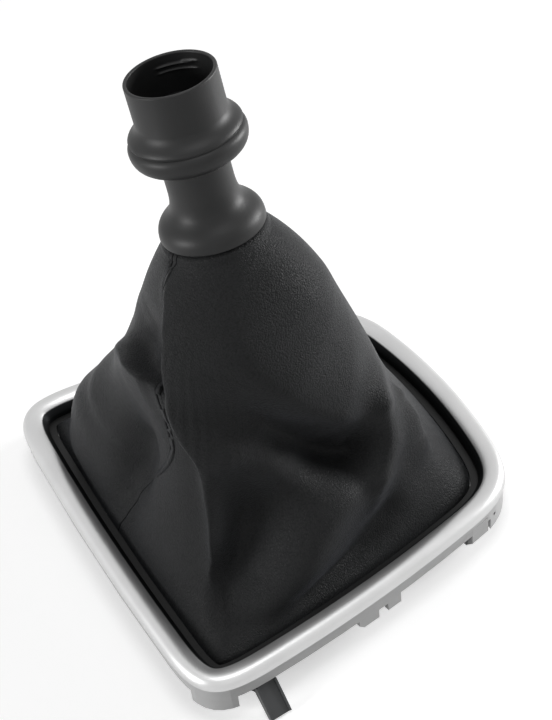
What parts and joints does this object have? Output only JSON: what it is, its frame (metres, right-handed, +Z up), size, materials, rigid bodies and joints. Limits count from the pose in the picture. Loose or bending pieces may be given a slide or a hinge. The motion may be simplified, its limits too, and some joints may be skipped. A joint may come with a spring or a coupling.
{
  "type": "gear lever gaiter",
  "caption": "Black leather gear lever gaiter with folded boot, satin silver trim frame with snap legs, and a moulded collar with a finger ring and an open cup.",
  "frame": {"origin": "on the plane under the snap tongues, below the middle of the frame", "axes": "+Z up out of the boot, -X to the wide end of the frame, +X to its narrow bulged end, -Y to the side seen in the picture"},
  "size_m": [0.1614, 0.1876, 0.21],
  "materials": {
    "satin_silver": "satin silver lacquer on a moulded crown, small nicks",
    "silver_plastic": "matte silver-grey moulding with flow marks and dust",
    "dark_plastic": "dark grey moulding, lightly scuffed",
    "black_leather": "black leather with a fine pebble grain and a soft sheen",
    "black_rubber": "smooth satin black moulding",
    "black_nylon": "plain black nylon band"
  },
  "bodies": {
    "root": {"trim_bezel": "satin_silver", "skirt_frame": "silver_plastic", "retainer_frame": "dark_plastic", "near_leather_panel": "black_leather", "far_leather_panel": "black_leather", "collar": "black_rubber", "clamp_band": "black_nylon"}
  },
  "joints": []
}
